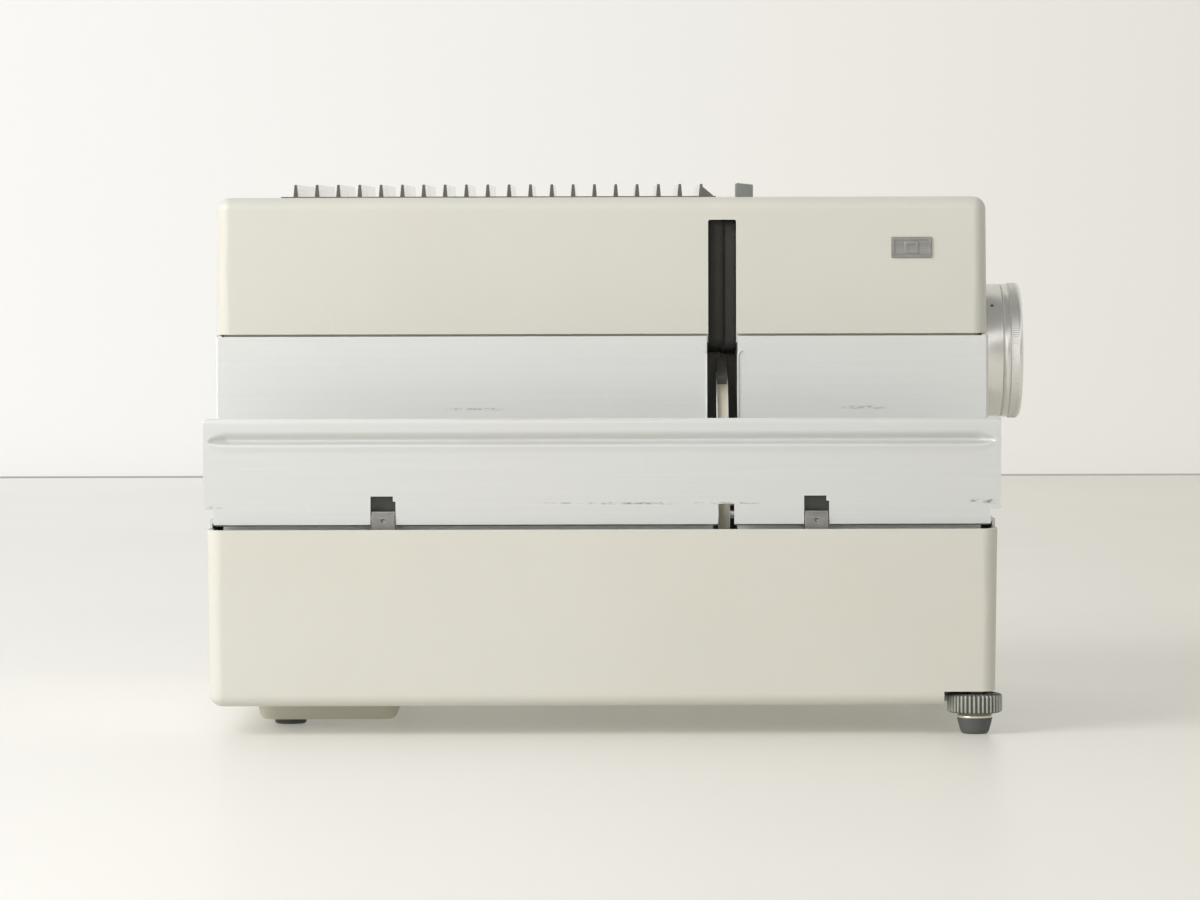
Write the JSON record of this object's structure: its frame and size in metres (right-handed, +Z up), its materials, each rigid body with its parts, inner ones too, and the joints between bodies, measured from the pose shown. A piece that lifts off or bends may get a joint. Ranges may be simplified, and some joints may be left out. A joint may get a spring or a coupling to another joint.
{
  "type": "slide projector",
  "caption": "Straight-tray slide projector with folding tray flap, changer arm, focusing lens, louvred top, fan and levelling feet.",
  "frame": {"origin": "centre of the bounding box in plan, on the plane that the feet stand on", "axes": "+X towards the lens, +Y away from the tray side, +Z up"},
  "size_m": [0.3082, 0.2534, 0.2043],
  "materials": {
    "housing_paint": "smooth satin light grey enamel",
    "aluminium": "satin brushed",
    "steel": "zinc plated, dull",
    "dark_grille": "glossy dark grey",
    "black_metal": "matt black",
    "black_plastic": "matt",
    "grey_plastic": "semi gloss mid grey",
    "rubber": "dark grey",
    "glass": "clear, coated",
    "mirror": "silvered",
    "ceramic_white": "glazed white",
    "copper": "varnished winding wire",
    "iron": "lacquered laminations",
    "board": "brown laminate board",
    "badge": "etched"
  },
  "bodies": {
    "case": {"lower_housing": "housing_paint", "base_plate": "housing_paint", "upper_cover": "housing_paint", "bottom_cover": "housing_paint", "badge": "badge", "tray_channel": "aluminium", "flap_brackets": "steel", "flap_hinge_pins": "steel", "slide_chute": "black_metal", "gate_plate": "black_metal", "chassis_deck": "steel", "lens_sleeve": "black_metal", "condenser_carrier": "black_metal", "condenser_lenses": "glass", "heat_filter": "glass", "lamp": "glass", "lamp_socket": "ceramic_white", "reflector_mirror": "mirror", "lamp_house": "steel", "fan_shroud": "black_metal", "fan_motor": "steel", "mechanism_bracket": "steel", "drive_motor": "steel", "transformer_core": "iron", "transformer_coils": "copper", "circuit_boards": "board", "board_components": "black_plastic", "mains_inlet": "black_plastic", "control_panel": "grey_plastic", "remote_socket": "black_plastic", "louvre_grille": "dark_grille", "louvre_fins": "dark_grille", "level_brackets": "steel", "rear_feet": "rubber", "case_screws": "steel"},
    "flap": {"tray_flap": "aluminium"},
    "changer": {"arm_shaft": "steel", "arm_sector": "steel", "changer_arm": "aluminium", "arm_finger": "black_plastic"},
    "motor_pinion": {"drive_pinion": "steel"},
    "tray_wheel": {"transport_pinion": "black_plastic"},
    "gate_frame": {"pressure_frame": "steel"},
    "fan": {"fan_rotor": "black_plastic"},
    "focus_drive": {"focus_shaft": "steel", "focus_knob": "grey_plastic"},
    "lens": {"lens_barrel": "aluminium", "lens_front_ring": "aluminium", "lens_front_glass": "glass", "lens_rear_glass": "glass", "focus_rack": "steel"},
    "near_pad": {"level_pad_near": "rubber"},
    "near_wheel": {"level_wheel_near": "grey_plastic"},
    "far_pad": {"level_pad_far": "rubber"},
    "far_wheel": {"level_wheel_far": "grey_plastic"},
    "lift_button": {"top_button": "grey_plastic"},
    "forward": {"forward_button": "grey_plastic"},
    "reverse": {"reverse_button": "grey_plastic"},
    "rocker": {"power_rocker": "black_plastic"},
    "compartment_cover": {"rear_cover": "housing_paint"}
  },
  "joints": [
    {"name": "flap_fold", "type": "hinge", "parent": "case", "child": "flap", "pos_m": [-0.0068, -0.11951, 0.0798], "axis": [1, 0, 0], "range_deg": [0, 90]},
    {"name": "arm_swing", "type": "hinge", "parent": "case", "child": "changer", "pos_m": [0.0388, -0.10131, 0.04], "axis": [1, 0, 0], "range_deg": [0, 29]},
    {"name": "pinion_turn", "type": "hinge", "parent": "case", "child": "motor_pinion", "pos_m": [0.0432, -0.05301, 0.04], "axis": [1, 0, 0], "range_deg": [-152, 6]},
    {"name": "tray_wheel_turn", "type": "hinge", "parent": "case", "child": "tray_wheel", "pos_m": [0.0032, -0.08451, 0.072], "axis": [0, 1, 0], "continuous": true},
    {"name": "gate_frame_push", "type": "slide", "parent": "case", "child": "gate_frame", "axis": [-1, 0, 0], "range_m": [0, 0.0015], "stiffness_N_per_m": 300},
    {"name": "fan_spin", "type": "hinge", "parent": "case", "child": "fan", "pos_m": [-0.0288, 0.03469, 0.13], "axis": [0, 1, 0], "continuous": true},
    {"name": "focus_turn", "type": "hinge", "parent": "case", "child": "focus_drive", "pos_m": [0.1032, 0.11369, 0.1045], "axis": [0, 1, 0], "range_deg": [-72, 92]},
    {"name": "lens_slide", "type": "slide", "parent": "case", "child": "lens", "axis": [1, 0, 0], "range_m": [-0.0073, 0.0094]},
    {"name": "near_foot_lift", "type": "slide", "parent": "case", "child": "near_pad", "axis": [0, 0, -1], "range_m": [0, 0.009]},
    {"name": "near_foot_turn", "type": "hinge", "parent": "near_pad", "child": "near_wheel", "pos_m": [0.1311, -0.11651, 0.011], "axis": [0, 0, 1], "range_deg": [0, 2160]},
    {"name": "far_foot_lift", "type": "slide", "parent": "case", "child": "far_pad", "axis": [0, 0, -1], "range_m": [0, 0.009]},
    {"name": "far_foot_turn", "type": "hinge", "parent": "far_pad", "child": "far_wheel", "pos_m": [0.1311, 0.10389, 0.011], "axis": [0, 0, 1], "range_deg": [0, 2160]},
    {"name": "top_button_press", "type": "slide", "parent": "case", "child": "lift_button", "axis": [0, 0, -1], "range_m": [0, 0.0025], "stiffness_N_per_m": 200},
    {"name": "forward_press", "type": "slide", "parent": "case", "child": "forward", "axis": [0, -1, 0], "range_m": [0, 0.002], "stiffness_N_per_m": 200},
    {"name": "reverse_press", "type": "slide", "parent": "case", "child": "reverse", "axis": [0, -1, 0], "range_m": [0, 0.002], "stiffness_N_per_m": 200},
    {"name": "rocker_tip", "type": "hinge", "parent": "case", "child": "rocker", "pos_m": [-0.0348, 0.10869, 0.113], "axis": [1, 0, 0], "range_deg": [0, 18]},
    {"name": "cover_pull", "type": "slide", "parent": "case", "child": "compartment_cover", "axis": [-1, 0, 0], "range_m": [0, 0.03]}
  ],
  "couplings": [
    {"joint": "pinion_turn", "follows": "arm_swing", "ratio": -5},
    {"joint": "focus_turn", "follows": "lens_slide", "rad_per_m": 166.67},
    {"joint": "near_foot_lift", "follows": "near_foot_turn", "m_per_rad": 0.00023873},
    {"joint": "far_foot_lift", "follows": "far_foot_turn", "m_per_rad": 0.00023873}
  ]
}
